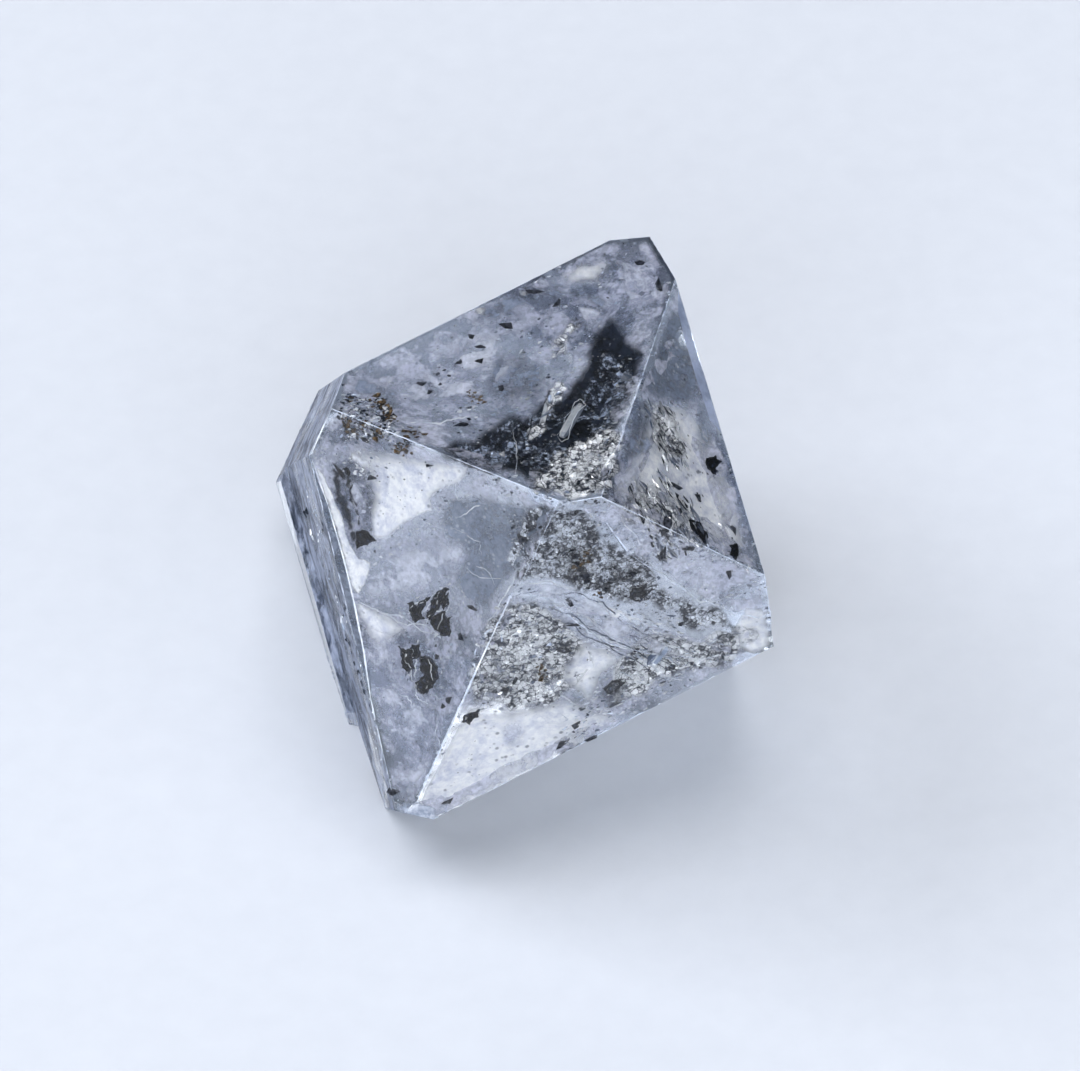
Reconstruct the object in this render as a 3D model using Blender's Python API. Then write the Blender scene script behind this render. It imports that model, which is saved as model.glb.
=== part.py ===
"""Herkimer diamond: a clear, doubly pointed quartz crystal lying on one of its pyramid faces.

The crystal is the space inside its faces. Each face has a heading about the long axis, a tier
(upper pyramid, prism or lower pyramid) and the distance that it grew from the centre. Worn tips,
growth ledges and chips are then cut from that body.
"""

import math

import bmesh
import bpy
from mathutils import Matrix, Vector

MM = 0.001
STOCK = 40  # mm, side of the block that the faces are cut from

# Quartz: a pyramid face's normal stands this far above or below the equator, in degrees.
PYRAMID_RISE = 38.21
UPPER, PRISM, LOWER = 1, 0, -1

# Headings in degrees about the long axis, seen from the upper tip.
RIGHT, BACK_RIGHT, BACK_LEFT, LEFT, FRONT_LEFT, FRONT_RIGHT = 0, 60, 120, 180, 240, 300

# Heading, tier, distance from the centre in mm, and the lean in degrees by which growth has
# turned the face up or down from its ideal slope.
FACES = {
    "upper front left": (FRONT_LEFT, UPPER, 7.14, -0.2),
    "upper front right": (FRONT_RIGHT, UPPER, 7.73, 0.3),
    "upper left": (LEFT, UPPER, 5.09, 1.4),
    "upper right": (RIGHT, UPPER, 4.58, 0.0),
    "upper back left": (BACK_LEFT, UPPER, 6.91, 0.0),
    "upper back right": (BACK_RIGHT, UPPER, 6.24, 0.0),
    "prism left": (LEFT, PRISM, 5.52, -0.3),
    "lower front left": (FRONT_LEFT, LOWER, 6.60, -0.7),
    "lower front right": (FRONT_RIGHT, LOWER, 6.81, 0.7),
    "lower left": (LEFT, LOWER, 5.00, -0.3),
    "lower right": (RIGHT, LOWER, 5.16, -0.5),
    "lower back left": (BACK_LEFT, LOWER, 8.20, 0.0),
    "lower back right": (BACK_RIGHT, LOWER, 5.70, 0.0),
}
RESTING_FACE = "lower back right"
LONG_AXIS_HEADING = 53.0  # degrees from +X towards +Y, once the crystal lies down

# The tips are worn off: heading, rise above the equator in degrees, distance from the centre in mm.
WORN_TIPS = {
    "top": (185, 61, 6.58),
    "top side": (350, 54, 6.18),
    "bottom": (0, -80, 7.36),
    "bottom back": (155, -44, 6.75),
}
EDGE_WEAR = 0.035  # mm, the flat that wear has left along every edge

# Some faces grew in sheets that stop short of the whole face. Each entry gives the face, how far
# below its outermost sheet the next one lies, in mm, and the part of the face where that lower
# sheet shows: x along the equator and y up the slope, in mm, counter-clockwise.
REACH = 9.0  # past the outline of any face
SHEETS = {
    "broad sheet": (
        "lower front right", 0.18,
        [(-REACH, -REACH), (REACH, -REACH), (REACH, 5.3), (2.5, 4.3), (1.3, 3.3), (0.2, 2.8),
         (-1.0, 2.55), (-2.1, 2.7), (-3.3, 2.95), (-4.3, 2.7), (-REACH, 2.4)],
    ),
    "edge sheet": (
        "lower front right", 0.10,
        [(-REACH, -REACH), (REACH, -REACH), (REACH, 5.2), (1.5, 5.05), (0.6, 4.85), (-0.5, 4.85),
         (-1.8, 5.0), (-2.7, 5.15), (-3.8, 5.65), (-REACH, 6.0)],
    ),
    "left sheet": (
        "lower left", 0.20,
        [(-REACH, -REACH), (REACH, -REACH), (REACH, REACH), (-5.3, REACH), (-5.5, 2.8), (-5.0, 1.2),
         (-4.2, -0.6), (-3.7, -2.3), (-3.5, -3.4), (-4.2, -4.1), (-5.0, -4.0), (-REACH, -4.3)],
    ),
    "back sheet": (
        "upper back left", 0.12,
        [(-REACH, -REACH), (0.4, -REACH), (0.6, -1.5), (-0.2, 0.8), (-0.6, 2.2), (-2.4, 3.4),
         (-REACH, 4.4)],
    ),
    "under sheet": (
        "lower back left", 0.14,
        [(-REACH, -REACH), (REACH, -REACH), (REACH, 2.0), (2.8, 2.4), (1.2, 3.1), (-0.9, 3.3),
         (-2.6, 4.2), (-REACH, 4.8)],
    ),
}
LEDGE_SLOPE = 0.6  # how far a ledge runs back for each unit that it rises

# Shell-shaped chips and pits: face, x and y on it, radius of the shell, and how far it reaches
# below the face's outermost sheet, all in mm.
CHIPS = {
    "bottom chip": ("lower front right", -1.25, -4.20, 0.90, 0.27),
    "bottom chip beside it": ("lower front right", -0.60, -3.75, 0.70, 0.24),
    "bottom chip on the left": ("lower front left", 1.20, -4.40, 0.60, 0.09),
    "right corner chip": ("lower front right", 2.15, 4.45, 1.50, 0.25),
    "chip on the front edge": ("lower front left", 4.49, 0.71, 2.55, 0.44),
}
CHIP_FACETS = 4  # subdivisions of the ball that cuts a chip
WELD = 1e-6  # mm, corners nearer to a cutting plane than this count as on it


def direction(heading, rise):
    """The unit vector at this heading about the long axis and this rise above the equator."""
    level = math.cos(math.radians(rise))
    turn = math.radians(heading)
    return Vector((level * math.cos(turn), level * math.sin(turn), math.sin(math.radians(rise))))


def normal_of(face):
    heading, tier, _, lean = FACES[face]
    return direction(heading, tier * PYRAMID_RISE + lean)


def on_face(face, x, y, above):
    """The point at x, y in mm on the face and this far above it: x runs along the equator and y up."""
    heading, _, distance, _ = FACES[face]
    normal = normal_of(face)
    along = direction(heading + 90, 0)
    up = normal.cross(along)
    return (x * along + y * up + (distance + above) * normal) * MM


def add_object(name, bm):
    bmesh.ops.recalc_face_normals(bm, faces=bm.faces[:])
    mesh = bpy.data.meshes.new(name)
    bm.to_mesh(mesh)
    bm.free()
    obj = bpy.data.objects.new(name, mesh)
    bpy.context.scene.collection.objects.link(obj)
    return obj


def cut_back(bm, normal, distance):
    """Removes what lies past the plane and closes the cut."""
    everything = bm.verts[:] + bm.edges[:] + bm.faces[:]
    on_plane = normal * distance * MM
    bmesh.ops.bisect_plane(
        bm, geom=everything, dist=WELD * MM, plane_co=on_plane, plane_no=normal, clear_outer=True
    )
    bmesh.ops.holes_fill(bm, edges=[edge for edge in bm.edges if edge.is_boundary])


def faceted_body():
    """The crystal with flat faces, worn tips and lightly worn edges, its long axis along Z."""
    bm = bmesh.new()
    bmesh.ops.create_cube(bm, size=STOCK * MM)
    for face in FACES:
        cut_back(bm, normal_of(face), FACES[face][2])
    for heading, rise, distance in WORN_TIPS.values():
        cut_back(bm, direction(heading, rise), distance)
    bmesh.ops.bevel(
        bm, geom=bm.edges[:], offset=EDGE_WEAR * MM, segments=1, affect="EDGES", clamp_overlap=True
    )
    return add_object("crystal", bm)


def widened(outline, by):
    """The outline moved outwards by this much, corners kept sharp."""
    points = [Vector(point) for point in outline]
    moved = []
    for i, point in enumerate(points):
        before = (point - points[i - 1]).normalized()
        after = (points[(i + 1) % len(points)] - point).normalized()
        out_before, out_after = Vector((before.y, -before.x)), Vector((after.y, -after.x))
        moved.append(point + (out_before + out_after) * by / (1 + out_before.dot(out_after)))
    return moved


def sheet_cutter(name, face, depth, outline):
    """The space over a lower sheet, with sloping ledges around it."""
    clear = 1.0  # mm that the cutter stands past the face
    bm = bmesh.new()
    low = [bm.verts.new(on_face(face, x, y, -depth)) for x, y in outline]
    opened = widened(outline, LEDGE_SLOPE * (depth + clear))
    high = [bm.verts.new(on_face(face, x, y, clear)) for x, y in opened]
    bm.faces.new(low)
    bm.faces.new(reversed(high))
    for i in range(len(outline)):
        j = (i + 1) % len(outline)
        bm.faces.new((low[i], high[i], high[j], low[j]))
    return add_object(name, bm)


def chip_cutter(name, face, x, y, radius, depth):
    """A ball whose lowest part reaches into the face."""
    bm = bmesh.new()
    bmesh.ops.create_icosphere(bm, subdivisions=CHIP_FACETS, radius=radius * MM)
    bmesh.ops.translate(bm, verts=bm.verts, vec=on_face(face, x, y, radius - depth))
    return add_object(name, bm)


def cut_away(body, cutter):
    """Subtracts the cutter from the body for good, and removes the cutter."""
    modifier = body.modifiers.new(cutter.name, "BOOLEAN")
    modifier.operation = "DIFFERENCE"
    modifier.object = cutter
    bpy.context.view_layer.update()
    cut = bpy.data.meshes.new_from_object(body.evaluated_get(bpy.context.evaluated_depsgraph_get()))
    body.modifiers.clear()
    body.data = cut
    bpy.data.objects.remove(cutter, do_unlink=True)


def lay_down(body):
    """Turns the crystal onto its resting face and centres it over the origin."""
    up = -normal_of(RESTING_FACE)
    long_axis = Vector((0, 0, 1))
    ahead = (long_axis - up * long_axis.dot(up)).normalized()
    own_axes = Matrix((ahead, up.cross(ahead), up))
    turn = Matrix.Rotation(math.radians(LONG_AXIS_HEADING), 3, "Z")
    body.data.transform((turn @ own_axes).to_4x4())
    places = [vertex.co for vertex in body.data.vertices]
    low = Vector(min(place[i] for place in places) for i in range(3))
    high = Vector(max(place[i] for place in places) for i in range(3))
    body.data.transform(Matrix.Translation((-(low.x + high.x) / 2, -(low.y + high.y) / 2, -low.z)))


def quartz():
    material = bpy.data.materials.new("quartz")
    material.use_nodes = True
    shader = material.node_tree.nodes["Principled BSDF"]
    shader.inputs["Base Color"].default_value = (0.93, 0.95, 0.98, 1)
    shader.inputs["Roughness"].default_value = 0.04
    shader.inputs["Metallic"].default_value = 0
    shader.inputs["IOR"].default_value = 1.544
    shader.inputs["Transmission Weight"].default_value = 1
    return material


def main():
    for obj in list(bpy.data.objects):
        bpy.data.objects.remove(obj, do_unlink=True)
    crystal = faceted_body()
    for name, (face, depth, outline) in SHEETS.items():
        cut_away(crystal, sheet_cutter(name, face, depth, outline))
    for name, (face, x, y, radius, depth) in CHIPS.items():
        cut_away(crystal, chip_cutter(name, face, x, y, radius, depth))
    lay_down(crystal)
    crystal.data.materials.clear()
    crystal.data.materials.append(quartz())


main()
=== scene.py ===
"""The looks of a herkimer diamond: clear quartz with the flakes, films, veils and bubbles sealed in it.

Lengths are in millimetres up to the last step, which turns them into the frame's metres. What lies
inside the crystal is placed by where it shows from the camera, in a view 1080 wide and 1071 high, and
by its depth under the face that it shows through, so each piece also sits rightly from any side.
"""

import math
import random

import bmesh
import bpy
from mathutils import Euler, Matrix, Vector, noise
from mathutils.bvhtree import BVHTree
from mathutils.geometry import convex_hull_2d, delaunay_2d_cdt


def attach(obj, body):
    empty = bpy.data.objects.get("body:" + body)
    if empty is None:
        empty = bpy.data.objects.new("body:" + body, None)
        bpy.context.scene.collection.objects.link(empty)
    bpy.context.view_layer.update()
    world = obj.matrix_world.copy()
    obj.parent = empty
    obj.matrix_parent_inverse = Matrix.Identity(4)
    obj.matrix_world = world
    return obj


MM = 0.001

# The camera: where it aims, how far off it stands, and how it is turned.
AIM = Vector((0.6, -0.05, 5.36))
DISTANCE = 200
HEADING = -0.19  # degrees, to the camera's left of the -Y side
ELEVATION = 42.39
ROLL = -4.62
LENS = 277.8
SENSOR = 36
VIEW_WIDE, VIEW_HIGH = 1080, 1071

QUARTZ_IOR = 1.544

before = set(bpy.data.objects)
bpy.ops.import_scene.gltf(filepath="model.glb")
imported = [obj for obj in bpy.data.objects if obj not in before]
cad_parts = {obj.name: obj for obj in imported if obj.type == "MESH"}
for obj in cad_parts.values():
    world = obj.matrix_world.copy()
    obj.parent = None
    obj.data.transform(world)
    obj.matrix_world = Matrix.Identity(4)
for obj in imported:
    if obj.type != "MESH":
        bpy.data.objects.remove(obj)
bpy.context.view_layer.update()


# ---------------------------------------------------------------- materials


class Wire:
    """One socket in a material. Each operator adds the Math node that works it out."""

    def __init__(self, finish, socket):
        self.finish = finish
        self.socket = socket

    def math(self, operation, *values):
        inputs = dict(enumerate(values))
        return self.finish.node("ShaderNodeMath", {"operation": operation}, inputs)

    def __add__(self, other):
        return self.math("ADD", self, other)

    def __radd__(self, other):
        return self.math("ADD", other, self)

    def __sub__(self, other):
        return self.math("SUBTRACT", self, other)

    def __rsub__(self, other):
        return self.math("SUBTRACT", other, self)

    def __mul__(self, other):
        return self.math("MULTIPLY", self, other)

    def __rmul__(self, other):
        return self.math("MULTIPLY", other, self)

    def ramp(self, low, high):
        """0 up to low, 1 from high, smooth between. With low above high it falls."""
        settings = {"interpolation_type": "SMOOTHSTEP"}
        if low > high:
            return 1 - self.ramp(high, low)
        return self.finish.node("ShaderNodeMapRange", settings, {0: self, 1: low, 2: high})

    def mix(self, colour_0, colour_1):
        """The colour that runs from the first to the second as this goes from 0 to 1."""
        inputs = {0: self, 6: colour_0, 7: colour_1}
        return self.finish.node("ShaderNodeMix", {"data_type": "RGBA"}, inputs, 2)


class Finish:
    """A material in the making."""

    def __init__(self, name):
        self.material = bpy.data.materials.new(name)
        self.material.use_nodes = True
        self.tree = self.material.node_tree
        self.tree.nodes.clear()
        self.output = self.tree.nodes.new("ShaderNodeOutputMaterial")

    def node(self, kind, settings=None, inputs=None, out=0):
        """Adds a node: its settings first, then its sockets' values or links. Returns one output."""
        made = self.tree.nodes.new(kind)
        for name, value in (settings or {}).items():
            setattr(made, name, value)
        for name, value in (inputs or {}).items():
            if isinstance(value, Wire):
                self.tree.links.new(value.socket, made.inputs[name])
            else:
                made.inputs[name].default_value = value
        return Wire(self, made.outputs[out])

    def place(self, stretch=None):
        """Where a point is on the piece, in millimetres. stretch holds a rotation and how many times
        longer things are drawn along each of its axes."""
        coords = self.node("ShaderNodeTexCoord", out="Object")
        place = self.node("ShaderNodeVectorMath", {"operation": "SCALE"}, {0: coords, "Scale": 1 / MM})
        if stretch is None:
            return place
        inputs = {"Vector": place, "Rotation": stretch[0], "Scale": stretch[1]}
        return self.node("ShaderNodeMapping", {"vector_type": "TEXTURE"}, inputs)

    def noise(self, size, detail=3, roughness=0.5, distortion=0, stretch=None):
        """Cloudy noise from 0 to 1 whose lumps measure about size mm."""
        inputs = {
            "Vector": self.place(stretch), "Scale": 1 / size, "Detail": detail, "Roughness": roughness,
            "Distortion": distortion,
        }
        return self.node("ShaderNodeTexNoise", None, inputs)

    def cells(self, size, feature="F1"):
        """Distance to the nearest of points scattered about size mm apart, or to the line between two."""
        inputs = {"Vector": self.place(), "Scale": 1 / size}
        return self.node("ShaderNodeTexVoronoi", {"feature": feature}, inputs, "Distance")

    def cell_tone(self, size):
        """A chance number for each cell about size mm wide."""
        inputs = {"Vector": self.place(), "Scale": 1 / size}
        return self.node("ShaderNodeTexVoronoi", None, inputs, "Color") * 1

    def attribute(self, name):
        return self.node("ShaderNodeAttribute", {"attribute_name": name}, None, "Fac")

    def bump(self, height, distance):
        """The normal of a surface with this height, where 1 stands for distance mm."""
        return self.node("ShaderNodeBump", None, {"Height": height, "Distance": distance * MM})

    def principled(self, **inputs):
        named = {name.replace("_", " "): value for name, value in inputs.items()}
        return self.node("ShaderNodeBsdfPrincipled", None, named)

    def finished(self, shader, volume=None):
        self.tree.links.new(shader.socket, self.output.inputs["Surface"])
        if volume:
            self.tree.links.new(volume.socket, self.output.inputs["Volume"])
        return self.material


def quartz():
    finish = Finish("clear quartz")
    growth = finish.noise(1.6, 2)
    fine = finish.noise(0.12, 4, 0.6)
    height = growth * 0.85 + fine * 0.15
    glass = finish.principled(
        Base_Color=(0.97, 0.98, 1, 1),
        Roughness=finish.noise(0.5, 3).ramp(0.62, 0.8) * 0.03,
        IOR=QUARTZ_IOR,
        Transmission_Weight=1,
        Normal=finish.bump(height, 0.012),
    )
    tint = {"Color": (0.72, 0.84, 1, 1), "Density": 30}
    body = finish.node("ShaderNodeVolumeAbsorption", None, tint)
    return finish.finished(glass, body)


# ---------------------------------------------------------------- camera, floor and light


def camera_turn():
    """Rotation whose columns are the camera's right, up and back."""
    heading, elevation = math.radians(HEADING), math.radians(ELEVATION)
    level = math.cos(elevation)
    back = Vector((math.sin(heading) * level, -math.cos(heading) * level, math.sin(elevation)))
    return back.to_track_quat("Z", "Y").to_matrix() @ Matrix.Rotation(math.radians(ROLL), 3, "Z")


TURN = camera_turn()
EYE = AIM + TURN.col[2] * DISTANCE


def add_camera():
    data = bpy.data.cameras.new("camera")
    data.lens = LENS
    data.sensor_width = SENSOR
    data.clip_start = 0.01
    camera = bpy.data.objects.new("camera", data)
    bpy.context.scene.collection.objects.link(camera)
    camera.matrix_world = Matrix.Translation(EYE * MM) @ TURN.to_4x4()
    bpy.context.scene.camera = camera


# Heading, elevation, distance, width, height, watts and colour of each. Lengths are in metres.
# The back one stays under the top face's mirror direction, 42 degrees up.
SOFTBOXES = {
    "back": (0, 30, 0.6, 0.6, 0.14, 0.65, (1, 1, 1)),
    "left": (-75, 50, 0.6, 0.35, 0.35, 2.3, (0.93, 0.96, 1)),
    "right": (140, 38, 0.6, 0.3, 0.3, 0.7, (1, 1, 1)),
    "high": (180, 75, 0.6, 0.3, 0.3, 2.2, (1, 1, 1)),
    "front": (185, 28, 0.7, 0.6, 0.4, 5.1, (0.9, 0.95, 1)),
}


def facing(heading, rise):
    """The direction with this heading and rise in degrees. Heading 0 is behind and 90 to the right."""
    turn, rise = math.radians(heading), math.radians(rise)
    return Vector((math.sin(turn) * math.cos(rise), math.cos(turn) * math.cos(rise), math.sin(rise)))


def add_softbox(name, heading, elevation, distance, wide, high, watts, colour):
    """A rectangular light turned to the crystal."""
    away = facing(heading, elevation)
    data = bpy.data.lights.new(name, "AREA")
    data.shape = "RECTANGLE"
    data.size, data.size_y = wide, high
    data.energy = watts
    data.color = colour
    light = bpy.data.objects.new(name, data)
    light.location = away * distance
    light.rotation_euler = away.to_track_quat("Z", "Y").to_euler()
    bpy.context.scene.collection.objects.link(light)


def add_studio():
    for name, values in SOFTBOXES.items():
        add_softbox(f"{name} softbox", *values)
    world = bpy.data.worlds.new("studio")
    world.use_nodes = True
    sky = world.node_tree.nodes["Background"]
    sky.inputs["Color"].default_value = (0.74, 0.85, 1, 1)
    sky.inputs["Strength"].default_value = 0.14
    scene = bpy.context.scene
    scene.world = world
    scene.view_settings.view_transform = "Standard"
    scene.cycles.use_light_tree = False  # five lights are too few for it to pay
    scene.cycles.adaptive_threshold = 0.05
    scene.cycles.max_bounces = 8
    scene.cycles.glossy_bounces = 4
    scene.cycles.transmission_bounces = 8
    scene.cycles.transparent_max_bounces = 10


def add_floor():
    finish = Finish("pale board")
    grain = finish.noise(0.8, 4)
    tone = grain.mix((0.46, 0.48, 0.53, 1), (0.5, 0.52, 0.57, 1))
    paper = finish.principled(Base_Color=tone, Roughness=0.8, Normal=finish.bump(grain, 0.01))
    half = 1.5  # metres
    gap = 0.02 * MM  # a hair of air under the resting face, which keeps it mirror-bright from inside
    mesh = bpy.data.meshes.new("floor")
    corners = [(-half, -half, -gap), (half, -half, -gap), (half, half, -gap), (-half, half, -gap)]
    mesh.from_pydata(corners, [], [(0, 1, 2, 3)])
    mesh.materials.append(finish.finished(paper))
    floor = bpy.data.objects.new("floor", mesh)
    bpy.context.scene.collection.objects.link(floor)


# ---------------------------------------------------------------- the crystal


def solid():
    """The CAD crystal as a bmesh in millimetres."""
    bm = bmesh.new()
    bm.from_mesh(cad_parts["crystal"].data)
    bmesh.ops.scale(bm, vec=(1 / MM,) * 3, verts=bm.verts)
    bmesh.ops.remove_doubles(bm, verts=bm.verts, dist=1e-4)
    return bm


SOLID = solid()
SURFACE = BVHTree.FromBMesh(SOLID)
SKIN = 0.04  # mm, the least that anything inside keeps from a face
LIFT = 0.004  # mm that a skin lies above the solid


def sight(x, y):
    """The direction in which the camera sees this point of the view."""
    across = (x - VIEW_WIDE / 2) / VIEW_WIDE * SENSOR / LENS
    down = (y - VIEW_HIGH / 2) / VIEW_WIDE * SENSOR / LENS
    return (TURN @ Vector((across, -down, -1))).normalized()


def bent(ray, normal):
    """The ray's direction once quartz has bent it."""
    ratio = 1 / QUARTZ_IOR
    against = -ray.dot(normal)
    return ratio * ray + (ratio * against - math.sqrt(1 - ratio**2 * (1 - against**2))) * normal


def inside(x, y, depth):
    """The point seen at x, y in the view that lies this deep under the face it shows through.

    At depth 0 it lies on the face."""
    ray = sight(x, y)
    point, normal, _, _ = SURFACE.ray_cast(EYE, ray)
    if point is None:
        return None
    if depth == 0:
        return point + normal * LIFT
    inward = bent(ray, normal)
    room = SURFACE.ray_cast(point + inward * SKIN, inward)[3] or SKIN
    reach = min(depth / -inward.dot(normal), room - SKIN)
    return point + inward * max(reach, SKIN)


def just_inside(x, y, depth):
    """The same for a point that may lie a few steps off the crystal: those are brought in to its edge."""
    most_steps = 8
    point = Vector((x, y))
    inward = (MIDDLE - point).normalized()
    for step in range(most_steps):
        place = inside(*(point + inward * step), depth)
        if place:
            return place
    return None


# ---------------------------------------------------------------- pieces


MIDDLE = Vector((525, 530))  # the crystal's middle in the view
PX = 0.024  # mm across one step of the view, at the crystal


def at(*numbers):
    """Points of the view, from their x and y in turn."""
    return list(zip(numbers[::2], numbers[1::2]))


def add_piece(name, points, faces, material, rims=None, tones=None, thick=0):
    """Makes a mesh, given in millimetres, a piece that goes with the crystal.

    rims holds a number for each point and tones one for each face, which the material can read.
    """
    mesh = bpy.data.meshes.new(name)
    mesh.from_pydata([point * MM for point in points], [], faces)
    if rims:
        mesh.attributes.new("rim", "FLOAT", "POINT").data.foreach_set("value", rims)
    if tones:
        mesh.attributes.new("tone", "FLOAT", "FACE").data.foreach_set("value", tones)
    mesh.materials.append(material)
    piece = bpy.data.objects.new(name, mesh)
    bpy.context.scene.collection.objects.link(piece)
    if thick:
        piece.modifiers.new("thickness", "SOLIDIFY").thickness = thick * MM
    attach(piece, "root")


ROUNDS = 3  # times that the sides of an outline or a thread are halved and jogged


def ragged(outline, roughness, chance):
    """The closed outline with each side broken into ever smaller jags."""
    points = [Vector(point) for point in outline]
    for _ in range(ROUNDS):
        jagged = []
        for i, point in enumerate(points):
            after = points[(i + 1) % len(points)]
            side = after - point
            across = Vector((-side.y, side.x))
            middle = point + side * chance.uniform(0.4, 0.6) + across * chance.uniform(-1, 1) * roughness
            jagged += [point, middle]
        points = jagged
    return points


def distance_to(outline, point):
    """How far the point is from the closed outline."""
    nearest = math.inf
    for i, start in enumerate(outline):
        side = outline[i - 1] - start
        along = max(0, min(1, (point - start).dot(side) / side.length_squared))
        nearest = min(nearest, (point - start - side * along).length)
    return nearest


def filled(outline, spacing, chance):
    """Points and triangles that fill the outline, about spacing apart."""
    low = Vector((min(p.x for p in outline), min(p.y for p in outline)))
    high = Vector((max(p.x for p in outline), max(p.y for p in outline)))
    points = list(outline)
    rows = int((high.y - low.y) / spacing) + 1
    columns = int((high.x - low.x) / spacing) + 1
    for row in range(rows):
        for column in range(columns):
            shift = Vector((column + row % 2 / 2, row)) + Vector((chance.random(), chance.random())) * 0.5
            points.append(low + shift * spacing)
    rim = [(i, (i + 1) % len(outline)) for i in range(len(outline))]
    inside_rim = 1  # the triangulation's mode that keeps what the rim encloses
    found = delaunay_2d_cdt(points, rim, [], inside_rim, 1e-3)
    return found[0], found[2]


def add_film(name, finish, depth, spacing, relief, lumps, fade, jags, outline, seed, rise=1, thick=0):
    """A sheet that fills the outline, given in the view, at this depth under the face it shows through.

    It is uneven by relief mm in lumps of the given width, and over the width of rise it comes up to
    the face all round. Its attribute "rim" runs from 0 at its rim to 1 at fade from it, and "tone" is
    a chance number for each of its faces. A fade of (least, most, lean) widens the way that it leans.
    """
    most_side = 1  # mm: a longer triangle would span two faces
    hair = 0.01  # keeps a fade of 0 from a division by 0
    chance = random.Random(seed)
    rim = ragged(outline, jags, chance)
    least, most, lean = fade if isinstance(fade, tuple) else (fade, fade, 0)
    way = Vector((math.cos(math.radians(lean)), -math.sin(math.radians(lean))))
    ahead = [point.dot(way) for point in rim]
    points, faces = filled(rim, spacing, chance)
    places, rims, kept = [], [], {}
    for i, point in enumerate(points):
        rough = noise.fractal(Vector((point.x, point.y, seed * 77)) / lumps, 1, 2, 4)
        off = distance_to(rim, point)
        place = just_inside(point.x, point.y, max((depth + rough * relief) * min(1, off / rise), SKIN))
        if place:
            kept[i] = len(places)
            places.append(place)
            share = (point.dot(way) - min(ahead)) / (max(ahead) - min(ahead))
            rims.append(min(1, (off + hair) / (least + (most - least) * share + hair)))
    whole = []
    for face in faces:
        if all(i in kept for i in face):
            corners = [kept[i] for i in face]
            if all((places[i] - places[corners[0]]).length < most_side for i in corners):
                whole.append(corners)
    tones = [chance.random() for _ in whole]
    add_piece(name, places, whole, finish, rims, tones, thick)


def shards(chance):
    """Angular shapes about 1 in half-length: hulls of points scattered on a ball."""
    count, corners = 12, 8
    made = []
    for _ in range(count):
        bm = bmesh.new()
        for _ in range(corners):
            bm.verts.new(Vector(chance.gauss(0, 1) for _ in range(3)).normalized())
        hull = bmesh.ops.convex_hull(bm, input=bm.verts)
        bmesh.ops.delete(bm, geom=hull["geom_interior"], context="VERTS")
        bm.verts.index_update()
        points = [vert.co.copy() for vert in bm.verts]
        made.append((points, [[vert.index for vert in face.verts] for face in bm.faces]))
        bm.free()
    return made


def within(outline, x, y):
    """Whether the point lies inside the closed outline."""
    odd = False
    for i, (ax, ay) in enumerate(outline):
        bx, by = outline[i - 1]
        if (ay > y) != (by > y) and x < (bx - ax) * (y - ay) / (by - ay) + ax:
            odd = not odd
    return odd


def scattered(outline, count, chance):
    """This many points of the view inside the outline."""
    xs, ys = zip(*outline)
    found = []
    while len(found) < count:
        x, y = chance.uniform(min(xs), max(xs)), chance.uniform(min(ys), max(ys))
        if within(outline, x, y):
            found.append((x, y))
    return found


def view_turn(lean):
    """Axes of a thing that is drawn in the view: the first lean degrees up from the right."""
    return TURN @ Matrix.Rotation(math.radians(lean), 3, "Z")


ANY_WAY = 6.3  # radians, about a whole turn


def add_grains(name, material, groups, seed):
    """Angular grains, each group given by its places in the view, or by an outline and a count; by its
    least and most depth in mm and half-length in view steps; by how many times longer than wide they
    are; and by the lean of their long side in degrees. The attribute "tone" is a chance number for each.
    """
    swing = 25  # degrees either way of the lean
    chance = random.Random(seed)
    kinds = shards(chance)
    points, faces, tones = [], [], []
    for places, depths, sizes, stretch, lean in groups:
        if isinstance(places[-1], int):
            places = scattered(places[0], places[-1], chance)
        for x, y in places:
            centre = inside(x, y, chance.uniform(*depths))
            if centre is None:
                continue
            long = (sizes[0] + (sizes[1] - sizes[0]) * chance.random() ** 2) * PX
            size = Vector((long, long / stretch, long / stretch * chance.uniform(0.6, 1)))
            swung = view_turn(lean + chance.uniform(-swing, swing))
            turn = swung @ Matrix.Rotation(chance.uniform(0, ANY_WAY), 3, "X")
            corners, sides = chance.choice(kinds)
            tone = chance.random()
            faces += [[len(points) + i for i in side] for side in sides]
            tones += [min(1, max(0, tone + chance.uniform(-0.2, 0.2))) for _ in sides]
            points += [centre + turn @ (corner * size) for corner in corners]
    add_piece(name, points, faces, material, tones=tones)


def add_threads(name, material, threads, width, depth, seed, jag=0.12):
    """Thin seams: each a ribbon along its points in the view, tapered to both ends."""
    chance = random.Random(seed)
    places, faces = [], []
    for thread in threads:
        points = [Vector(point) for point in thread]
        for _ in range(ROUNDS):
            finer = []
            for a, b in zip(points, points[1:]):
                side = b - a
                shift = Vector((-side.y, side.x)) * chance.uniform(-jag, jag)
                finer += [a, (a + b) / 2 + shift]
            points = finer + [points[-1]]
        before = None
        for i, point in enumerate(points):
            along = (points[min(i + 1, len(points) - 1)] - points[max(i - 1, 0)]).normalized()
            across = Vector((-along.y, along.x))
            share = i / (len(points) - 1)
            half = width * (0.25 + math.sin(math.pi * share)) * chance.uniform(0.6, 1.2)
            pair = [inside(*(point + across * side), depth) for side in (-half, half)]
            if not all(pair):
                before = None
                continue
            here = len(places)
            places += pair
            if before is not None:
                faces.append((before, before + 1, here + 1, here))
            before = here
    add_piece(name, places, faces, material)


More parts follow.
